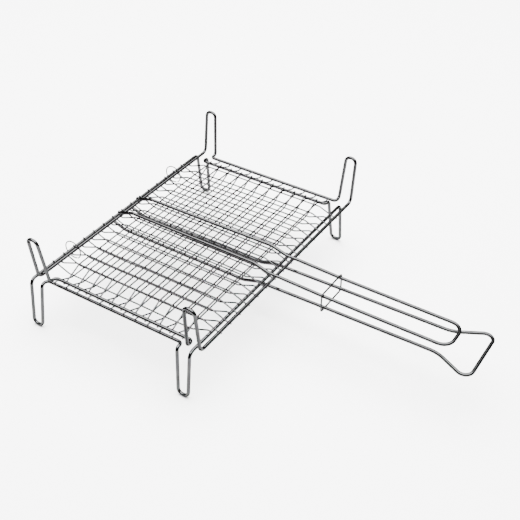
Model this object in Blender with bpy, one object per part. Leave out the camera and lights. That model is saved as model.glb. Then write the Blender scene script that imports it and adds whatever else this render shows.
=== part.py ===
"""Wire grill basket: two dished wire grids hinged on one side, with long handles and a closing ring.

+X points along the handles, away from the hinge. Y runs across the handles. Z is up.
Both halves are bent to one pattern, and the upper half is that pattern turned over.
A half is described with its outside downward and the middle of its frame wire at height 0.
Lengths are millimetres and become metres where curves and places are set.
"""
import math

import bpy
from mathutils import Quaternion, Vector

MM = 0.001

# Clear gap left between wires that touch or are welded in the real basket
GAP = 0.3

# Frame wire of a half, bent into a looped leg at each corner
FRAME_X = 300.0                                     # hinge-side wire to handle-side wire
FRAME_Y = 412.0                                     # between the two wires along X
FRAME_R = 2.8                                       # over the corners of an eight-sided section
FRAME_FLAT = FRAME_R * math.cos(math.pi / 8)
LEG_WIDTH = 22.0                                    # between the two prongs of a leg at its folds
OUTER_PINCH = 0.0                                   # how far each prong leans in by the foot
INNER_PINCH = 4.3
LEG_OUT = 12.0                                      # from the wire along X out to a leg's fold
LEG_SPLAY = 9.0                                     # a foot stands this far outside its fold
LEG_DROP = 79.0
LEG_LENGTH = math.hypot(OUTER_PINCH, LEG_SPLAY, LEG_DROP)
OUTER_FOLD_BEND = 10.0
INNER_FOLD_BEND = 6.0
TURN_BEND = 6.0
FOOT_BEND = 6.5
# Turn of the section from the folds to the foot that leaves one flat side of the foot facing down;
# the first term makes up for the bends being stepped
FOOT_TWIST = (math.radians(0.287) + math.pi / 2
              - 2 * math.atan2(LEG_DROP, LEG_LENGTH + LEG_SPLAY + OUTER_PINCH))
SIDE_TWIST = -0.0528                                # the same for the wires along X

# Place of the upper half over the lower half
UPPER_X = 19.0
UPPER_Z = 13.8

# Grid wires, six-sided
WIRE_R = 1.3
WIRE_FLAT = WIRE_R * math.cos(math.pi / 6)
ACROSS_COUNT = 11                                   # wires along Y, the outer layer
ACROSS_PITCH = 22.2
ALONG_COUNT = 15                                    # wires along X, the food-side layer
ALONG_PITCH = 24.0
DISH = 8.6                                          # crossings of the two layers below the frame
LAYER = WIRE_FLAT + GAP / 2                         # each layer's middle from the crossings
LAP_HEIGHT = FRAME_FLAT + GAP + WIRE_FLAT
LAP_LENGTH = 4.0                                    # level stretch inside the frame wire
LAP_OVERRUN = 1.8                                   # wire end outside the frame wire
ACROSS_SLOPE = 31.0                                 # level stretch on the frame to level grid
ALONG_SLOPE = 28.0
WIRE_BEND = 6.0

# Handles: each is one wire, two rods along the grid and out to an end loop
ROD_R = 2.8
ROD_Y = 26.0                                        # at the handle side and beyond
ROD_HINGE_Y = 24.0                                  # at the hinge side, where they stand closer
ROD_ON_FRAME = FRAME_FLAT + GAP + ROD_R             # rod's depth outside the frame plane
ROD_ON_GRID = DISH + LAYER + WIRE_FLAT + GAP + ROD_R
ROD_BEND = 14.0
UPPER_LOOP_X = 455.0
UPPER_LOOP_DEPTH = 1.7
UPPER_LOOP_BEND = 18.0
LOWER_FLARE_X = 440.0
LOWER_FLARE_DEPTH = 1.5
LOWER_FLARE_BEND = 48.0
LOWER_LOOP_X = 497.0
LOWER_LOOP_Y = 56.0                                 # where the flared rods would meet the end bar
LOWER_LOOP_DEPTH = 0.7
LOWER_LOOP_BEND = 12.5

# Closing ring: a rectangular link round all four rods
RING_X = 254.5
RING_R = 1.5
RING_UPPER_DEPTH = 2.9                              # depth of each half's rods at the ring
RING_LOWER_DEPTH = 3.7
RING_HALF_WIDTH = ROD_Y + ROD_R + GAP + RING_R
RING_TOP = UPPER_Z + RING_UPPER_DEPTH + ROD_R + GAP + RING_R
RING_HEIGHT = 31.8
RING_BEND = 4.4

# Hinge rings: open rings round both hinge-side frame wires
HINGE_R = 1.1
HINGE_Y = 5.5 * ALONG_PITCH
HINGE_BEND = math.hypot(UPPER_X, UPPER_Z) / 2 + FRAME_R + GAP + HINGE_R
HINGE_GAP_AT = -62.0                                # degrees from +X towards +Z
HINGE_GAP = 16.0                                    # degrees without wire
HINGE_STEPS = 26

SMOOTHEST_TURN = math.radians(24.0)                 # largest turn between two stations of a bend

LOWER_CENTRE = Vector((0.0, 0.0, 0.0))
HINGE_AXIS = Vector((UPPER_X - FRAME_X / 2, 0.0, UPPER_Z))
HINGE_MIDDLE = Vector(((UPPER_X - FRAME_X) / 2, 0.0, UPPER_Z / 2))
RING_MIDDLE = Vector((RING_X, 0.0, RING_TOP - RING_HEIGHT / 2))


def clear_scene():
    for old in list(bpy.data.objects):
        bpy.data.objects.remove(old, do_unlink=True)


def make_material(name, colour, roughness):
    """Metallic Principled BSDF for one kind of wire."""
    material = bpy.data.materials.new(name)
    material.use_nodes = True
    shader = material.node_tree.nodes["Principled BSDF"]
    shader.inputs["Base Color"].default_value = (*colour, 1.0)
    shader.inputs["Metallic"].default_value = 1.0
    shader.inputs["Roughness"].default_value = roughness
    return material


def bend(before, corner, after, radius):
    """Points of the arc that rounds one corner of a wire."""
    to_before = (before - corner).normalized()
    to_after = (after - corner).normalized()
    turn = math.pi - to_before.angle(to_after)
    if radius <= 0.0 or turn < 1e-4:
        return [corner]
    steps = max(1, math.ceil(turn / SMOOTHEST_TURN))
    centre = corner + (to_before + to_after).normalized() * (radius / math.cos(turn / 2))
    start = corner + to_before * (radius * math.tan(turn / 2)) - centre
    axis = (-to_before).cross(to_after).normalized()
    return [centre + Quaternion(axis, turn * i / steps) @ start for i in range(steps + 1)]


def rounded(corners, closed=False):
    """Turn (point, bend radius, twist) corners into the (point, twist) stations of a wire."""
    stations = []
    for i, (point, radius, twist) in enumerate(corners):
        if not closed and i in (0, len(corners) - 1):
            stations.append((point, twist))
            continue
        before = corners[i - 1][0]
        after = corners[(i + 1) % len(corners)][0]
        stations += [(place, twist) for place in bend(before, point, after, radius)]
    return stations


def wire_curve(name, stations, radius, sides, material, closed=False):
    """A bent wire with a section of six or eight sides, its free ends capped."""
    curve = bpy.data.curves.new(name, "CURVE")
    curve.dimensions = "3D"
    curve.twist_mode = "MINIMUM"
    curve.bevel_depth = radius * MM
    curve.bevel_resolution = (sides - 4) // 2
    curve.use_fill_caps = not closed
    spline = curve.splines.new("POLY")
    spline.points.add(len(stations) - 1)
    for target, (place, twist) in zip(spline.points, stations):
        target.co = (*(place * MM), 1.0)
        target.tilt = twist
    spline.use_cyclic_u = closed
    spline.use_smooth = True
    curve.materials.append(material)
    return curve


def add_object(name, data, parent, place):
    piece = bpy.data.objects.new(name, data)
    piece.parent = parent
    piece.location = place * MM
    bpy.context.scene.collection.objects.link(piece)
    return piece


def leg_corners(end_x, end_y):
    """Bends at one corner of the frame: outer fold, two foot bends, inner fold, inner turn."""
    outer = end_x * FRAME_X / 2
    inner = outer - end_x * LEG_WIDTH
    side = end_y * FRAME_Y / 2
    fold = side + end_y * LEG_OUT
    foot = fold + end_y * LEG_SPLAY
    outer_foot = outer - end_x * OUTER_PINCH
    inner_foot = inner + end_x * INNER_PINCH
    level = math.pi / 8
    side_level = level + SIDE_TWIST
    return [
        (Vector((outer, fold, 0.0)), OUTER_FOLD_BEND, level),
        (Vector((outer_foot, foot, -LEG_DROP)), FOOT_BEND, level + FOOT_TWIST),
        (Vector((inner_foot, foot, -LEG_DROP)), FOOT_BEND, level + FOOT_TWIST),
        (Vector((inner, fold, 0.0)), INNER_FOLD_BEND, side_level),
        (Vector((inner, side, 0.0)), TURN_BEND, side_level),
    ]


def frame_curve(material):
    """The closed frame wire of a half, with its four legs, from the middle of the hinge side."""
    corners = [(Vector((-FRAME_X / 2, 0.0, 0.0)), 0.0, math.pi / 8)]
    for end_x, end_y in ((-1, -1), (1, -1), (1, 1), (-1, 1)):
        leg = leg_corners(end_x, end_y)
        corners += leg if end_x == end_y else leg[::-1]
    return wire_curve("frame", rounded(corners, closed=True), FRAME_R, 8, material, closed=True)


def grid_wire_curve(name, direction, reach, slope, depth, material):
    """A grid wire centred on the half, lapped on the frame at both ends and dished between."""
    profile = [
        (reach + LAP_OVERRUN, LAP_HEIGHT),
        (reach - LAP_LENGTH, LAP_HEIGHT),
        (reach - LAP_LENGTH - slope, -depth),
    ]
    profile = [(-along, height) for along, height in profile] + profile[::-1]
    corners = [(direction * along + Vector((0.0, 0.0, height)), WIRE_BEND, 0.0)
               for along, height in profile]
    return wire_curve(name, rounded(corners), WIRE_R, 6, material)


def handle_curve(name, ring_x, ring_depth, loop, material):
    """A handle's two rods and end loop; loop lists (x, y, depth, bend) beyond the closing ring."""
    edge = FRAME_X / 2
    side = [
        (-edge - 5.0, ROD_HINGE_Y, ROD_ON_FRAME, ROD_BEND),
        (-edge + 3.0, ROD_HINGE_Y, ROD_ON_FRAME, ROD_BEND),
        (-edge + 26.0, ROD_HINGE_Y, ROD_ON_GRID, ROD_BEND),
        (edge - 36.0, ROD_Y, ROD_ON_GRID, ROD_BEND),
        (edge - 9.0, ROD_Y, ROD_ON_FRAME, ROD_BEND),
        (edge + 10.0, ROD_Y, ROD_ON_FRAME, ROD_BEND),
        (ring_x, ROD_Y, ring_depth, ROD_BEND),
    ]
    side += loop
    corners = [(Vector((x, y, -depth)), radius, 0.0) for x, y, depth, radius in side]
    corners += [(Vector((x, -y, -depth)), radius, 0.0) for x, y, depth, radius in reversed(side)]
    return wire_curve(name, rounded(corners), ROD_R, 8, material)


def closing_ring_curve(material):
    corners = []
    for y, z in ((-1, -1), (1, -1), (1, 1), (-1, 1)):
        corners.append((Vector((0.0, y * RING_HALF_WIDTH, z * RING_HEIGHT / 2)), RING_BEND, 0.0))
    return wire_curve("closing_ring", rounded(corners, closed=True), RING_R, 6, material,
                      closed=True)


def hinge_ring_curve(material):
    stations = []
    for i in range(HINGE_STEPS + 1):
        turned = HINGE_GAP_AT + HINGE_GAP / 2 + (360.0 - HINGE_GAP) * i / HINGE_STEPS
        angle = math.radians(turned)
        stations.append((Vector((math.cos(angle), 0.0, math.sin(angle))) * HINGE_BEND, 0.0))
    return wire_curve("hinge_ring", stations, HINGE_R, 6, material)


def add_half(name, parent, centre, frame, across, along, handle):
    """The frame, grid wires and handle of one half, with its middle at centre in the parent."""
    add_object(f"{name}_frame", frame, parent, centre)
    for i in range(ACROSS_COUNT):
        x = (i - (ACROSS_COUNT - 1) / 2) * ACROSS_PITCH
        place = centre + Vector((x, 0.0, 0.0))
        add_object(f"{name}_wire_y{i + 1:02d}", across, parent, place)
    for i in range(ALONG_COUNT):
        y = (i - (ALONG_COUNT - 1) / 2) * ALONG_PITCH
        place = centre + Vector((0.0, y, 0.0))
        add_object(f"{name}_wire_x{i + 1:02d}", along, parent, place)
    add_object(f"{name}_handle", handle, parent, centre)


def stand_on_origin(root):
    """Move the whole basket so that the bottom centre of its bounding box is the origin."""
    bpy.context.view_layer.update()
    low = Vector((math.inf, math.inf, math.inf))
    high = -low
    for piece in bpy.data.objects:
        if piece.type == "EMPTY":
            continue
        for corner in piece.bound_box:
            place = piece.matrix_world @ Vector(corner)
            low = Vector(map(min, low, place))
            high = Vector(map(max, high, place))
    root.location = (-(low.x + high.x) / 2, -(low.y + high.y) / 2, -low.z)


def main():
    clear_scene()
    frame_steel = make_material("frame_steel", (0.66, 0.66, 0.67), 0.22)
    grid_steel = make_material("grid_steel", (0.62, 0.62, 0.63), 0.28)
    handle_steel = make_material("handle_steel", (0.68, 0.68, 0.69), 0.20)
    ring_steel = make_material("ring_steel", (0.60, 0.60, 0.61), 0.30)

    frame = frame_curve(frame_steel)
    across = grid_wire_curve("wire_y", Vector((0.0, 1.0, 0.0)), FRAME_Y / 2, ACROSS_SLOPE,
                             DISH + LAYER, grid_steel)
    along = grid_wire_curve("wire_x", Vector((1.0, 0.0, 0.0)), FRAME_X / 2, ALONG_SLOPE,
                            DISH - LAYER, grid_steel)
    lower_handle = handle_curve("lower_handle", RING_X, RING_LOWER_DEPTH, [
        (LOWER_FLARE_X, ROD_Y, LOWER_FLARE_DEPTH, LOWER_FLARE_BEND),
        (LOWER_LOOP_X, LOWER_LOOP_Y, LOWER_LOOP_DEPTH, LOWER_LOOP_BEND),
    ], handle_steel)
    upper_handle = handle_curve("upper_handle", RING_X - UPPER_X, RING_UPPER_DEPTH, [
        (UPPER_LOOP_X - UPPER_X, ROD_Y, UPPER_LOOP_DEPTH, UPPER_LOOP_BEND),
    ], handle_steel)
    hinge_ring = hinge_ring_curve(ring_steel)

    root = add_object("basket", None, None, Vector((0.0, 0.0, 0.0)))
    upper_half = add_object("upper_half", None, root, HINGE_AXIS)
    upper_half.rotation_euler = (math.pi, 0.0, 0.0)
    add_half("lower", root, LOWER_CENTRE, frame, across, along, lower_handle)
    add_half("upper", upper_half, Vector((FRAME_X / 2, 0.0, 0.0)), frame, across, along,
             upper_handle)
    add_object("closing_ring", closing_ring_curve(ring_steel), root, RING_MIDDLE)
    for name, y in (("hinge_ring_near", -HINGE_Y), ("hinge_ring_far", HINGE_Y)):
        add_object(name, hinge_ring, root, HINGE_MIDDLE + Vector((0.0, y, 0.0)))
    stand_on_origin(root)


main()
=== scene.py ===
"""Looks of the wire grill basket: round plated wires, weld beads, soft studio light and the camera.

A half is described as in the CAD model: outside downward, the middle of its frame wire at
height 0, lengths in millimetres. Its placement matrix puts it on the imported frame, with the upper
half turned over.
"""
import math
import random

import bmesh
import bpy
from mathutils import Matrix, Quaternion, Vector


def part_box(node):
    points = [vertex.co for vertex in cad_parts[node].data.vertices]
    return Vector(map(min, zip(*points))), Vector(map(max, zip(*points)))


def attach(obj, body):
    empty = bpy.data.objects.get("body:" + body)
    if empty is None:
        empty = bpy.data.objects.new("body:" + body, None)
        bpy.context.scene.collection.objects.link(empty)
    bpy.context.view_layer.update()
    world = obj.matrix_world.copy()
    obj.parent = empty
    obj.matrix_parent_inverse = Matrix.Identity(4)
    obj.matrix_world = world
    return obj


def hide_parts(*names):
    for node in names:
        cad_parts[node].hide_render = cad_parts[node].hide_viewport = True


MM = 0.001
X_AXIS = Vector((1.0, 0.0, 0.0))
Y_AXIS = Vector((0.0, 1.0, 0.0))

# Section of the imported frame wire, from its middle to its flat sides
CAD_FRAME_FLAT = 2.587

# Welded wires sink into each other by this much
BITE = 0.1

# Frame wire
FRAME_X = 300.0
FRAME_Y = 412.0
FRAME_R = 2.75
LEG_WIDTH = 22.0
OUTER_PINCH = 0.0
INNER_PINCH = 4.3
LEG_OUT = 12.0
LEG_SPLAY = 8.84
LEG_DROP = 78.81
OUTER_FOLD_BEND = 10.0
INNER_FOLD_BEND = 6.0
TURN_BEND = 6.2
FOOT_BEND = 8.2
FRAME_JOIN_X = -38.0                                # butt weld that closes the frame wire
FRAME_JOIN_LENGTH = 1.6
FRAME_JOIN_SWELL = 0.18

# Grid wires
WIRE_R = 1.25
ACROSS_COUNT = 11
ACROSS_PITCH = 22.2
ALONG_COUNT = 15
ALONG_PITCH = 24.0
DISH = 8.6
LAYER = WIRE_R - BITE / 2
LAP_HEIGHT = FRAME_R + WIRE_R - BITE
LAP_LENGTH = 4.0
LAP_OVERRUN = 1.8
ACROSS_SLOPE = 31.0
ALONG_SLOPE = 28.0
WIRE_BEND = 8.0
WAVE_COUNT = 3                                      # sideways waviness of a grid wire
WAVE_SIZES = (0.08, 0.22)
WAVE_LENGTHS = (90.0, 260.0)

# Handles
ROD_R = 2.75
ROD_Y = 26.0
ROD_HINGE_Y = 24.0
ROD_ON_FRAME = FRAME_R + ROD_R - BITE
ROD_ON_GRID = DISH + LAYER + WIRE_R + ROD_R - BITE
ROD_BEND = 20.0
ROD_TAIL = 5.0                                      # rod's end, outside the hinge-side wire
ROD_DIP = (3.0, 26.0)                               # from that wire: off the frame, on the grid
ROD_RISE = (36.0, 9.0)                              # from the other: off the grid, on the frame
ROD_OUT = 10.0                                      # level stretch outside the frame
UPPER_SHIFT = 19.0
UPPER_LOOP_X = 455.0
UPPER_LOOP_DEPTH = 1.7
UPPER_LOOP_BEND = 18.0
LOWER_FLARE_X = 440.0
LOWER_FLARE_DEPTH = 1.5
LOWER_FLARE_BEND = 48.0
LOWER_LOOP_X = 497.0
LOWER_LOOP_Y = 56.0
LOWER_LOOP_DEPTH = 0.7
LOWER_LOOP_BEND = 12.5
RING_X = 254.5
RING_UPPER_DEPTH = 2.9
RING_LOWER_DEPTH = 3.7

# Rings
CLOSING_R = 1.4
CLOSING_BEND = 4.4
HINGE_R = 1.0
HINGE_GAP_AT = -62.0
HINGE_GAP = 16.0
HINGE_SPREAD = 1.2
HINGE_INSET = 0.4                                   # ring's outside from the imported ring's box
CLOSING_JOIN_Y = 6.0                                # butt weld that closes the closing ring
CLOSING_JOIN_LENGTH = 1.3
CLOSING_JOIN_SWELL = 0.1

# Weld beads, half size along x, y and z, each varied by a factor
CROSSING_BEAD = Vector((1.1, 1.1, 0.45))
ACROSS_LAP_BEAD = Vector((1.2, 1.0, 0.4))
ALONG_LAP_BEAD = Vector((1.0, 1.2, 0.4))
ROD_BEAD = Vector((1.3, 1.4, 0.5))
ROD_FRAME_BEAD = Vector((2.2, 2.2, 0.8))
BEAD_FACTORS = (0.85, 1.15)

# How finely the wires are made
SMOOTHEST_TURN = math.radians(9.0)
LONGEST_STEP = 12.0
THICK_SIDES = 24
GRID_SIDES = 12
CLOSING_SIDES = 16
HINGE_SIDES = 14
HINGE_STEPS = 72
END_EDGE = 0.25                                     # broken edge at a free end, per radius
SHARPEST_SMOOTH = math.radians(35.0)

# The room that the plating reflects: sine of the direction's rise above the horizon, and
# brightness there as a share of the ceiling's
CEILING_LIGHT = 1.4
ROOM_BANDS = (
    (-1.0, 0.01),
    (-0.90, 0.02),
    (-0.78, 0.34),
    (-0.38, 0.34),
    (-0.24, 0.01),
    (0.20, 0.005),
    (0.60, 0.02),
    (0.71, 0.15),
    (0.82, 1.0),
    (1.0, 1.0),
)
WALL_LIGHT = 10.0                                   # the wall that only the camera sees

# Studio, in metres, and the camera measured from the lower half's middle
FLOOR_REACH = 8.0
FLOOR_DROP = 0.0002
SOFTBOX_PLACE = Vector((-0.4, 0.5, 3.0))
SOFTBOX_SIZE = 4.0
SOFTBOX_POWER = 1250.0
CAMERA_OFFSET = Vector((0.7388, -0.9608, 0.9005))
CAMERA_SENSOR = 36.0
CAMERA_LENS = 64.25
CAMERA_HEADING = math.radians(122.484)
CAMERA_PITCH = math.radians(-37.908)
CAMERA_ROLL = math.radians(0.331)


# ---------------------------------------------------------------- wire shapes

def bend(before, corner, after, radius):
    """Points of the arc that rounds one corner of a wire."""
    to_before = (before - corner).normalized()
    to_after = (after - corner).normalized()
    turn = math.pi - to_before.angle(to_after)
    if radius <= 0.0 or turn < 1e-4:
        return [corner]
    steps = max(3, math.ceil(turn / SMOOTHEST_TURN))
    centre = corner + (to_before + to_after).normalized() * (radius / math.cos(turn / 2))
    start = corner + to_before * (radius * math.tan(turn / 2)) - centre
    axis = (-to_before).cross(to_after).normalized()
    return [centre + Quaternion(axis, turn * i / steps) @ start for i in range(steps + 1)]


def rounded(corners, closed=False):
    """The path of a wire from its (point, bend radius) corners."""
    path = []
    for i, (point, radius) in enumerate(corners):
        if not closed and i in (0, len(corners) - 1):
            path.append(point)
            continue
        before = corners[i - 1][0]
        after = corners[(i + 1) % len(corners)][0]
        path += bend(before, point, after, radius)
    return path


def stepped(path):
    """The same path with extra points along its long straight runs."""
    finer = [path[0]]
    for start, end in zip(path, path[1:]):
        count = max(1, math.ceil((end - start).length / LONGEST_STEP))
        finer += [start.lerp(end, i / count) for i in range(1, count + 1)]
    return finer


def section_normals(path, closed):
    """Tangents and normals that follow the path with the least twist."""
    last = len(path) - 1
    tangents = []
    for i, point in enumerate(path):
        before = path[i - 1] if closed or i > 0 else point
        after = path[(i + 1) % len(path)] if closed or i < last else point
        tangents.append((after - before).normalized())
    normal = tangents[0].orthogonal().normalized()
    normals = [normal]
    for earlier, tangent in zip(tangents, tangents[1:]):
        normal = earlier.rotation_difference(tangent) @ normal
        normals.append(normal.normalized())
    if closed:
        carried = tangents[-1].rotation_difference(tangents[0]) @ normals[-1]
        slip = carried.angle(normals[0])
        if carried.cross(normals[0]).dot(tangents[0]) < 0.0:
            slip = -slip
        normals = [Quaternion(tangent, slip * i / len(path)) @ normal
                   for i, (tangent, normal) in enumerate(zip(tangents, normals))]
    return tangents, normals


def add_wire(shape, path, radius, sides, closed=False):
    """Sweep a round section along a path; the free ends are cut square with a small broken edge.

    The UV map runs along the wire in u and round it in v, both in metres.
    """
    mesh, uv = shape
    tangents, normals = section_normals(path, closed)
    lengths = [0.0]
    for start, end in zip(path, path[1:]):
        lengths.append(lengths[-1] + (end - start).length)
    rings = []
    stations = [(point, tangent, normal, radius, length)
                for point, tangent, normal, length in zip(path, tangents, normals, lengths)]
    if not closed:
        edge = radius * END_EDGE
        point, tangent, normal, _, length = stations[0]
        stations[0] = (point + tangent * edge, tangent, normal, radius, length + edge)
        stations.insert(0, (point, tangent, normal, radius - edge, length))
        point, tangent, normal, _, length = stations[-1]
        stations[-1] = (point - tangent * edge, tangent, normal, radius, length - edge)
        stations.append((point, tangent, normal, radius - edge, length))
    for point, tangent, normal, reach, length in stations:
        side = tangent.cross(normal)
        ring = []
        for k in range(sides):
            angle = 2 * math.pi * k / sides
            place = point + (normal * math.cos(angle) + side * math.sin(angle)) * reach
            ring.append(mesh.verts.new(place * MM))
        rings.append((ring, length * MM))
    around = 2 * math.pi * radius * MM
    pairs = list(zip(rings, rings[1:]))
    if closed:
        closing = (rings[0][0], rings[-1][1] + (path[0] - path[-1]).length * MM)
        pairs.append((rings[-1], closing))
    for (ring_a, u_a), (ring_b, u_b) in pairs:
        for k in range(sides):
            after = (k + 1) % sides
            face = mesh.faces.new((ring_a[k], ring_a[after], ring_b[after], ring_b[k]))
            face.smooth = True
            v_low = around * k / sides
            v_high = around * (k + 1) / sides
            places = ((u_a, v_low), (u_a, v_high), (u_b, v_high), (u_b, v_low))
            for loop, place in zip(face.loops, places):
                loop[uv].uv = place
    if not closed:
        mesh.faces.new(list(reversed(rings[0][0])))
        mesh.faces.new(rings[-1][0])


def add_bead(shape, centre, reach):
    """A small rounded bead of weld metal; reach is its half size along x, y and z."""
    mesh, _ = shape
    placement = Matrix.Translation(centre * MM) @ Matrix.Diagonal((*(reach * MM), 1.0))
    made = bmesh.ops.create_uvsphere(mesh, u_segments=10, v_segments=6, radius=1.0,
                                     matrix=placement)
    for vertex in made["verts"]:
        for face in vertex.link_faces:
            face.smooth = True


# ---------------------------------------------------------------- pieces

def new_shape():
    mesh = bmesh.new()
    return mesh, mesh.loops.layers.uv.new("along_wire")


def finish_piece(name, shape, placement, material, body, nodes=()):
    """Make the object with its material, place it, tie it to its body and hide its CAD nodes."""
    mesh, _ = shape
    bmesh.ops.recalc_face_normals(mesh, faces=mesh.faces)
    data = bpy.data.meshes.new(name)
    mesh.to_mesh(data)
    mesh.free()
    data.set_sharp_from_angle(angle=SHARPEST_SMOOTH)
    data.materials.append(material)
    piece = bpy.data.objects.new(name, data)
    bpy.context.scene.collection.objects.link(piece)
    piece.matrix_world = placement
    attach(piece, body)
    for node in nodes:
        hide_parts(node)
    return piece


def half_placement(name):
    """Where a half's own frame lies: its middle between the frame's ends, on its wire's height."""
    low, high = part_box(f"{name}_frame")
    middle = (low + high) / 2
    if name == "lower":
        middle.z = high.z - CAD_FRAME_FLAT * MM
        return Matrix.Translation(middle)
    middle.z = low.z + CAD_FRAME_FLAT * MM
    return Matrix.Translation(middle) @ Matrix.Rotation(math.pi, 4, "X")


def leg_corners(end_x, end_y):
    """Bends at one corner of the frame: outer fold, two foot bends, inner fold, inner turn."""
    outer = end_x * FRAME_X / 2
    inner = outer - end_x * LEG_WIDTH
    side = end_y * FRAME_Y / 2
    fold = side + end_y * LEG_OUT
    foot = fold + end_y * LEG_SPLAY
    outer_foot = outer - end_x * OUTER_PINCH
    inner_foot = inner + end_x * INNER_PINCH
    return [
        (Vector((outer, fold, 0.0)), OUTER_FOLD_BEND),
        (Vector((outer_foot, foot, -LEG_DROP)), FOOT_BEND),
        (Vector((inner_foot, foot, -LEG_DROP)), FOOT_BEND),
        (Vector((inner, fold, 0.0)), INNER_FOLD_BEND),
        (Vector((inner, side, 0.0)), TURN_BEND),
    ]


def make_frame(half, placement, material):
    shape = new_shape()
    corners = []
    for end_x, end_y in ((-1, -1), (1, -1), (1, 1), (-1, 1)):
        leg = leg_corners(end_x, end_y)
        corners += leg if end_x == end_y else leg[::-1]
    add_wire(shape, rounded(corners, closed=True), FRAME_R, THICK_SIDES, closed=True)
    swollen = FRAME_R + FRAME_JOIN_SWELL
    add_bead(shape, Vector((FRAME_JOIN_X, FRAME_Y / 2, 0.0)),
             Vector((FRAME_JOIN_LENGTH, swollen, swollen)))
    finish_piece(f"{half}_frame_round", shape, placement, material, f"{half}_grid",
                 [f"{half}_frame"])


def wander(seed):
    """A smooth sideways shift along a wire, a fraction of a millimetre."""
    draw = random.Random(seed)
    waves = [(draw.uniform(*WAVE_SIZES), draw.uniform(*WAVE_LENGTHS),
              draw.uniform(0.0, 2 * math.pi)) for _ in range(WAVE_COUNT)]
    return lambda along: sum(size * math.sin(2 * math.pi * along / length + phase)
                             for size, length, phase in waves)


def grid_path(direction, sideways, place, shift, reach, slope, depth):
    """A grid wire's path: lapped on the frame at both ends, dished between, and a little wavy."""
    profile = [
        (reach + LAP_OVERRUN, LAP_HEIGHT),
        (reach - LAP_LENGTH, LAP_HEIGHT),
        (reach - LAP_LENGTH - slope, -depth),
    ]
    profile = [(-along, height) for along, height in profile] + profile[::-1]
    corners = [(direction * along + Vector((0.0, 0.0, height)), WIRE_BEND)
               for along, height in profile]
    path = stepped(rounded(corners))
    return [point + sideways * (place + shift(point.dot(direction))) for point in path]


def make_grid(half, placement, material):
    """All grid wires of a half, and the shifts of each for the weld beads."""
    body = f"{half}_grid"
    across = []
    for i in range(ACROSS_COUNT):
        x = (i - (ACROSS_COUNT - 1) / 2) * ACROSS_PITCH
        shift = wander(f"{half} across {i}")
        across.append((x, shift))
        shape = new_shape()
        add_wire(shape, grid_path(Y_AXIS, X_AXIS, x, shift, FRAME_Y / 2, ACROSS_SLOPE,
                                  DISH + LAYER), WIRE_R, GRID_SIDES)
        node = f"{half}_wire_y{i + 1:02d}"
        finish_piece(f"{node}_round", shape, placement, material, body, [node])
    along = []
    for i in range(ALONG_COUNT):
        y = (i - (ALONG_COUNT - 1) / 2) * ALONG_PITCH
        shift = wander(f"{half} along {i}")
        along.append((y, shift))
        shape = new_shape()
        add_wire(shape, grid_path(X_AXIS, Y_AXIS, y, shift, FRAME_X / 2, ALONG_SLOPE,
                                  DISH - LAYER), WIRE_R, GRID_SIDES)
        node = f"{half}_wire_x{i + 1:02d}"
        finish_piece(f"{node}_round", shape, placement, material, body, [node])
    return across, along


def rod_y(x):
    """How far the rods stand from the middle plane at x, between the hinge side and the handle."""
    start, end = -FRAME_X / 2 + ROD_DIP[1], FRAME_X / 2 - ROD_RISE[0]
    share = min(max((x - start) / (end - start), 0.0), 1.0)
    return ROD_HINGE_Y + (ROD_Y - ROD_HINGE_Y) * share


def handle_path(ring_x, ring_depth, loop):
    """A handle's path; loop lists (x, y, depth, bend) beyond the closing ring."""
    edge = FRAME_X / 2
    side = [
        (-edge - ROD_TAIL, ROD_HINGE_Y, ROD_ON_FRAME, ROD_BEND),
        (-edge + ROD_DIP[0], ROD_HINGE_Y, ROD_ON_FRAME, ROD_BEND),
        (-edge + ROD_DIP[1], ROD_HINGE_Y, ROD_ON_GRID, ROD_BEND),
        (edge - ROD_RISE[0], ROD_Y, ROD_ON_GRID, ROD_BEND),
        (edge - ROD_RISE[1], ROD_Y, ROD_ON_FRAME, ROD_BEND),
        (edge + ROD_OUT, ROD_Y, ROD_ON_FRAME, ROD_BEND),
        (ring_x, ROD_Y, ring_depth, ROD_BEND),
    ]
    side += loop
    corners = [(Vector((x, y, -depth)), radius) for x, y, depth, radius in side]
    corners += [(Vector((x, -y, -depth)), radius) for x, y, depth, radius in reversed(side)]
    return rounded(corners)


def make_handle(half, placement, path, material):
    shape = new_shape()
    add_wire(shape, path, ROD_R, THICK_SIDES)
    finish_piece(f"{half}_handle_round", shape, placement, material, f"{half}_grid",
                 [f"{half}_handle"])


def make_welds(half, placement, across, along, material):
    """Weld beads of a half: at each crossing, where wires lap on the frame, and under the rods."""
    shape = new_shape()
    draw = random.Random(f"{half} welds")

    def bead(x, y, z, reach):
        add_bead(shape, Vector((x, y, z)), reach * draw.uniform(*BEAD_FACTORS))

    edge_x = FRAME_X / 2
    edge_y = FRAME_Y / 2
    for x, shift_x in across:
        for y, shift_y in along:
            bead(x + shift_x(y), y + shift_y(x), -DISH, CROSSING_BEAD)
        for end in (-edge_y, edge_y):
            bead(x + shift_x(end), end, FRAME_R - BITE / 2, ACROSS_LAP_BEAD)
        for rod in (-rod_y(x), rod_y(x)):
            bead(x + shift_x(rod), rod, -DISH - LAYER - WIRE_R, ROD_BEAD)
    for y, shift_y in along:
        for end in (-edge_x, edge_x):
            bead(end, y + shift_y(end), FRAME_R - BITE / 2, ALONG_LAP_BEAD)
    for end in (-edge_x, edge_x):
        for rod in (-rod_y(end), rod_y(end)):
            bead(end, rod, -FRAME_R, ROD_FRAME_BEAD)
    finish_piece(f"{half}_weld_beads", shape, placement, material, f"{half}_grid")


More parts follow.
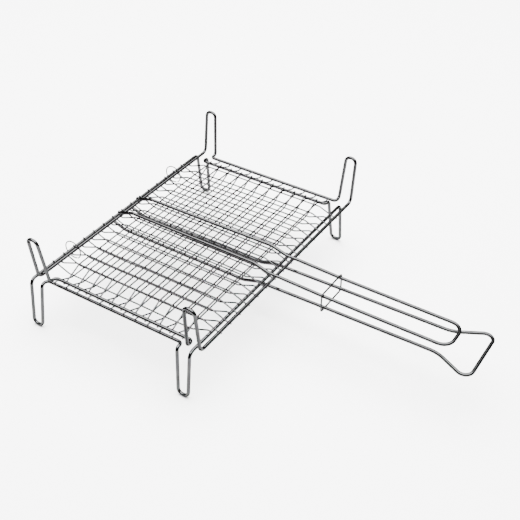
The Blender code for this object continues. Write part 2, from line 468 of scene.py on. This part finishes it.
def make_closing_ring(material):
    low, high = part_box("closing_ring")
    half_y = (high.y - low.y) / 2 / MM - CLOSING_R
    half_z = (high.z - low.z) / 2 / MM - CLOSING_R
    corners = [(Vector((0.0, y * half_y, z * half_z)), CLOSING_BEND)
               for y, z in ((-1, -1), (1, -1), (1, 1), (-1, 1))]
    shape = new_shape()
    add_wire(shape, rounded(corners, closed=True), CLOSING_R, CLOSING_SIDES, closed=True)
    swollen = CLOSING_R + CLOSING_JOIN_SWELL
    add_bead(shape, Vector((0.0, CLOSING_JOIN_Y, -half_z)),
             Vector((swollen, CLOSING_JOIN_LENGTH, swollen)))
    finish_piece("closing_ring_round", shape, Matrix.Translation((low + high) / 2), material,
                 "clamp_ring", ["closing_ring"])


def make_hinge_ring(node, material):
    """An open ring; its two ends stand slightly to either side of its plane."""
    low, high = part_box(node)
    reach = (high.z - low.z) / 2 / MM - HINGE_R - HINGE_INSET
    turn = 360.0 - HINGE_GAP
    path = []
    for i in range(HINGE_STEPS + 1):
        share = i / HINGE_STEPS
        angle = math.radians(HINGE_GAP_AT + HINGE_GAP / 2 + turn * share)
        path.append(Vector((math.cos(angle) * reach, (share - 0.5) * HINGE_SPREAD,
                            math.sin(angle) * reach)))
    shape = new_shape()
    add_wire(shape, path, HINGE_R, HINGE_SIDES)
    finish_piece(f"{node}_round", shape, Matrix.Translation((low + high) / 2), material,
                 "lower_grid", [node])


# ---------------------------------------------------------------- materials

def plated_steel(name, colour, roughness):
    """Bright plating over drawn wire: fine lines along it, cloudy tint and gloss, small pits."""
    material = bpy.data.materials.new(name)
    material.use_nodes = True
    nodes = material.node_tree.nodes
    link = material.node_tree.links.new
    shader = nodes["Principled BSDF"]
    shader.inputs["Metallic"].default_value = 1.0

    wire_map = nodes.new("ShaderNodeUVMap")
    wire_map.uv_map = "along_wire"
    stretch = nodes.new("ShaderNodeMapping")
    stretch.inputs["Scale"].default_value = (40.0, 2600.0, 1.0)
    link(wire_map.outputs["UV"], stretch.inputs["Vector"])
    lines = nodes.new("ShaderNodeTexNoise")
    lines.inputs["Scale"].default_value = 1.0
    lines.inputs["Detail"].default_value = 3.0
    link(stretch.outputs["Vector"], lines.inputs["Vector"])

    place = nodes.new("ShaderNodeTexCoord")
    clouds = nodes.new("ShaderNodeTexNoise")
    clouds.inputs["Scale"].default_value = 55.0
    clouds.inputs["Detail"].default_value = 4.0
    link(place.outputs["Object"], clouds.inputs["Vector"])
    tint = nodes.new("ShaderNodeValToRGB")
    tint.color_ramp.elements[0].position = 0.3
    tint.color_ramp.elements[0].color = (*(part * 0.80 for part in colour), 1.0)
    tint.color_ramp.elements[1].position = 0.7
    tint.color_ramp.elements[1].color = (*colour, 1.0)
    link(clouds.outputs["Fac"], tint.inputs["Fac"])
    link(tint.outputs["Color"], shader.inputs["Base Color"])

    gloss = nodes.new("ShaderNodeMapRange")
    gloss.inputs["To Min"].default_value = roughness * 0.7
    gloss.inputs["To Max"].default_value = roughness * 1.5
    link(lines.outputs["Fac"], gloss.inputs["Value"])
    link(gloss.outputs["Result"], shader.inputs["Roughness"])

    pits = nodes.new("ShaderNodeTexNoise")
    pits.inputs["Scale"].default_value = 900.0
    pits.inputs["Detail"].default_value = 2.0
    link(place.outputs["Object"], pits.inputs["Vector"])
    relief = nodes.new("ShaderNodeMath")
    relief.operation = "MULTIPLY_ADD"
    relief.inputs[1].default_value = 0.6
    link(lines.outputs["Fac"], relief.inputs[0])
    link(pits.outputs["Fac"], relief.inputs[2])
    bump = nodes.new("ShaderNodeBump")
    bump.inputs["Strength"].default_value = 0.12
    bump.inputs["Distance"].default_value = 0.0002
    link(relief.outputs["Value"], bump.inputs["Height"])
    link(bump.outputs["Normal"], shader.inputs["Normal"])
    return material


def pale_floor_material():
    material = bpy.data.materials.new("pale_floor")
    material.use_nodes = True
    nodes = material.node_tree.nodes
    link = material.node_tree.links.new
    shader = nodes["Principled BSDF"]
    shader.inputs["Roughness"].default_value = 0.9
    shader.inputs["Specular IOR Level"].default_value = 0.1
    place = nodes.new("ShaderNodeTexCoord")
    clouds = nodes.new("ShaderNodeTexNoise")
    clouds.inputs["Scale"].default_value = 0.6
    link(place.outputs["Object"], clouds.inputs["Vector"])
    tint = nodes.new("ShaderNodeValToRGB")
    tint.color_ramp.elements[0].color = (0.88, 0.88, 0.88, 1.0)
    tint.color_ramp.elements[1].color = (0.92, 0.92, 0.92, 1.0)
    link(clouds.outputs["Fac"], tint.inputs["Fac"])
    link(tint.outputs["Color"], shader.inputs["Base Color"])
    return material


# ---------------------------------------------------------------- studio

def make_floor():
    shape = new_shape()
    mesh, _ = shape
    corners = [mesh.verts.new((x * FLOOR_REACH, y * FLOOR_REACH, 0.0))
               for x, y in ((-1, -1), (1, -1), (1, 1), (-1, 1))]
    mesh.faces.new(corners)
    data = bpy.data.meshes.new("floor")
    mesh.to_mesh(data)
    mesh.free()
    data.materials.append(pale_floor_material())
    floor = bpy.data.objects.new("floor", data)
    bpy.context.scene.collection.objects.link(floor)
    floor.location.z = -FLOOR_DROP
    floor.visible_glossy = False


def make_world():
    """Bands of light and dark for reflections, from straight down to straight up.

    The camera itself sees a plain pale wall.
    """
    world = bpy.data.worlds.new("studio")
    world.use_nodes = True
    bpy.context.scene.world = world
    nodes = world.node_tree.nodes
    link = world.node_tree.links.new
    room = nodes["Background"]
    room.inputs["Strength"].default_value = CEILING_LIGHT
    direction = nodes.new("ShaderNodeTexCoord")
    height = nodes.new("ShaderNodeSeparateXYZ")
    link(direction.outputs["Generated"], height.inputs["Vector"])
    share = nodes.new("ShaderNodeMapRange")
    share.inputs["From Min"].default_value = -1.0
    link(height.outputs["Z"], share.inputs["Value"])
    bands = nodes.new("ShaderNodeValToRGB")
    link(share.outputs["Result"], bands.inputs["Fac"])
    stops = bands.color_ramp.elements
    stops.remove(stops[1])
    for i, (rise, light) in enumerate(ROOM_BANDS):
        stop = stops[0] if i == 0 else stops.new((rise + 1.0) / 2)
        stop.position = (rise + 1.0) / 2
        stop.color = (light, light, light, 1.0)
    link(bands.outputs["Color"], room.inputs["Color"])
    pale = nodes.new("ShaderNodeBackground")
    pale.inputs["Color"].default_value = (1.0, 1.0, 1.0, 1.0)
    pale.inputs["Strength"].default_value = WALL_LIGHT
    seen = nodes.new("ShaderNodeLightPath")
    either = nodes.new("ShaderNodeMixShader")
    link(seen.outputs["Is Camera Ray"], either.inputs["Fac"])
    link(room.outputs["Background"], either.inputs[1])
    link(pale.outputs["Background"], either.inputs[2])
    link(either.outputs["Shader"], nodes["World Output"].inputs["Surface"])


def add_softbox(name, place, aim, size, power):
    lamp = bpy.data.lights.new(name, "AREA")
    lamp.shape = "SQUARE"
    lamp.size = size
    lamp.energy = power
    box = bpy.data.objects.new(name, lamp)
    bpy.context.scene.collection.objects.link(box)
    box.location = place
    box.rotation_euler = (aim - place).to_track_quat("-Z", "Y").to_euler()
    box.visible_glossy = False


def add_camera(target):
    """The view from above the near corner; the place is measured from the lower half's middle."""
    camera = bpy.data.cameras.new("camera")
    camera.sensor_width = CAMERA_SENSOR
    camera.lens = CAMERA_LENS
    holder = bpy.data.objects.new("camera", camera)
    bpy.context.scene.collection.objects.link(holder)
    bpy.context.scene.camera = holder
    level = math.cos(CAMERA_PITCH)
    forward = Vector((level * math.cos(CAMERA_HEADING), level * math.sin(CAMERA_HEADING),
                      math.sin(CAMERA_PITCH)))
    holder.location = target + CAMERA_OFFSET
    holder.rotation_mode = "QUATERNION"
    holder.rotation_quaternion = (forward.to_track_quat("-Z", "Y")
                                  @ Quaternion((0.0, 0.0, 1.0), CAMERA_ROLL))


# ---------------------------------------------------------------- the basket

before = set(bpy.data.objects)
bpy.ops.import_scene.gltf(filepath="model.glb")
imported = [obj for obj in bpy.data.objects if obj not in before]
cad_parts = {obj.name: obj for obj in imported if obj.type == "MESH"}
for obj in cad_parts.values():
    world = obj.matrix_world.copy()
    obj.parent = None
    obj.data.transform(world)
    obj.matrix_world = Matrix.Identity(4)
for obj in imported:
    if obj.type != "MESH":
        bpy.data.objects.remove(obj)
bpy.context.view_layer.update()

frame_steel = plated_steel("plated_frame_wire", (0.56, 0.56, 0.57), 0.16)
grid_steel = plated_steel("plated_grid_wire", (0.42, 0.42, 0.43), 0.20)
handle_steel = plated_steel("plated_handle_rod", (0.54, 0.54, 0.55), 0.14)
ring_steel = plated_steel("plated_ring_wire", (0.44, 0.44, 0.45), 0.22)

placements = {half: half_placement(half) for half in ("lower", "upper")}
for half, placement in placements.items():
    make_frame(half, placement, frame_steel)
    across, along = make_grid(half, placement, grid_steel)
    make_welds(half, placement, across, along, grid_steel)
make_handle("lower", placements["lower"], handle_path(RING_X, RING_LOWER_DEPTH, [
    (LOWER_FLARE_X, ROD_Y, LOWER_FLARE_DEPTH, LOWER_FLARE_BEND),
    (LOWER_LOOP_X, LOWER_LOOP_Y, LOWER_LOOP_DEPTH, LOWER_LOOP_BEND),
]), handle_steel)
make_handle("upper", placements["upper"], handle_path(RING_X - UPPER_SHIFT, RING_UPPER_DEPTH, [
    (UPPER_LOOP_X - UPPER_SHIFT, ROD_Y, UPPER_LOOP_DEPTH, UPPER_LOOP_BEND),
]), handle_steel)
make_closing_ring(ring_steel)
make_hinge_ring("hinge_ring_near", ring_steel)
make_hinge_ring("hinge_ring_far", ring_steel)

make_floor()
make_world()
middle = placements["lower"].translation
add_softbox("ceiling_light", SOFTBOX_PLACE, middle, SOFTBOX_SIZE, SOFTBOX_POWER)
add_camera(middle)
